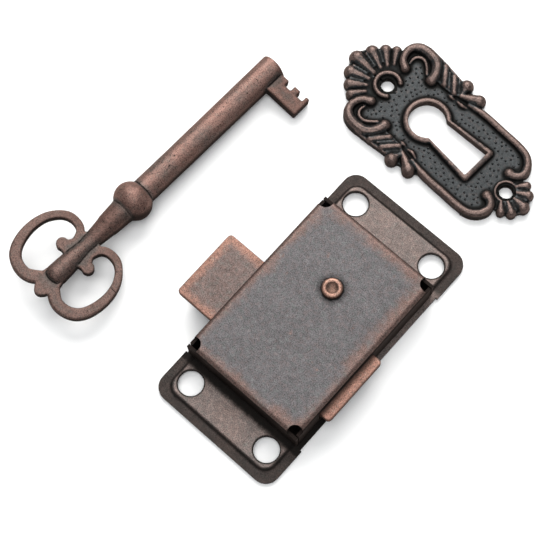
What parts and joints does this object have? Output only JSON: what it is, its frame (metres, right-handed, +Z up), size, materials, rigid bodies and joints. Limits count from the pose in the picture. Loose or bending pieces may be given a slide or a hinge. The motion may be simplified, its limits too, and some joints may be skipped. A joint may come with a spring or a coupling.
{
  "type": "cabinet lock",
  "caption": "Surface-mounted warded cabinet lock with a folded case and sliding bolt, shown with its barrel key and scrolled escutcheon.",
  "frame": {"origin": "centre of the four screw holes, in the plane of the base plate's back", "axes": "+Z up through the lock's case, +Y along the base plate and +X across it; the bolt is thrown towards -X"},
  "size_m": [0.0769, 0.098, 0.0099],
  "materials": {
    "case_sheet": "sheet steel, antique copper plate, blackened and relieved, fine random scratches",
    "post_steel": "riveted steel pin, antique copper plate, bright worn rim",
    "works_steel": "plain stamped steel, not plated",
    "bolt_metal": "steel bar, antique copper plate, worn lighter along the edges",
    "spring_steel": "tempered spring strip",
    "key_casting": "die-cast metal, antique copper plate, dark pits and streaks",
    "escutcheon_casting": "die-cast metal, antique copper plate, near-black ground with relieved copper highs"
  },
  "bodies": {
    "lock_case": {"base_plate": "case_sheet", "case_cover": "case_sheet", "key_post": "post_steel", "ward_plate": "works_steel", "guide_stud": "works_steel", "spring_post": "works_steel", "detent_spring": "spring_steel"},
    "bolt": {"bolt": "bolt_metal"},
    "key": {"key": "key_casting"},
    "escutcheon": {"escutcheon": "escutcheon_casting"}
  },
  "joints": [
    {"name": "bolt_slide", "type": "slide", "parent": "lock_case", "child": "bolt", "axis": [1, 0, 0], "range_m": [0, 0.009], "deforming": ["detent_spring"]},
    {"name": "key_lift", "type": "slide", "parent": "lock_case", "child": "key", "axis": [0, 0, 1], "range_m": [0, 0.06]},
    {"name": "escutcheon_lift", "type": "slide", "parent": "lock_case", "child": "escutcheon", "axis": [0, 0, 1], "range_m": [0, 0.06]}
  ]
}
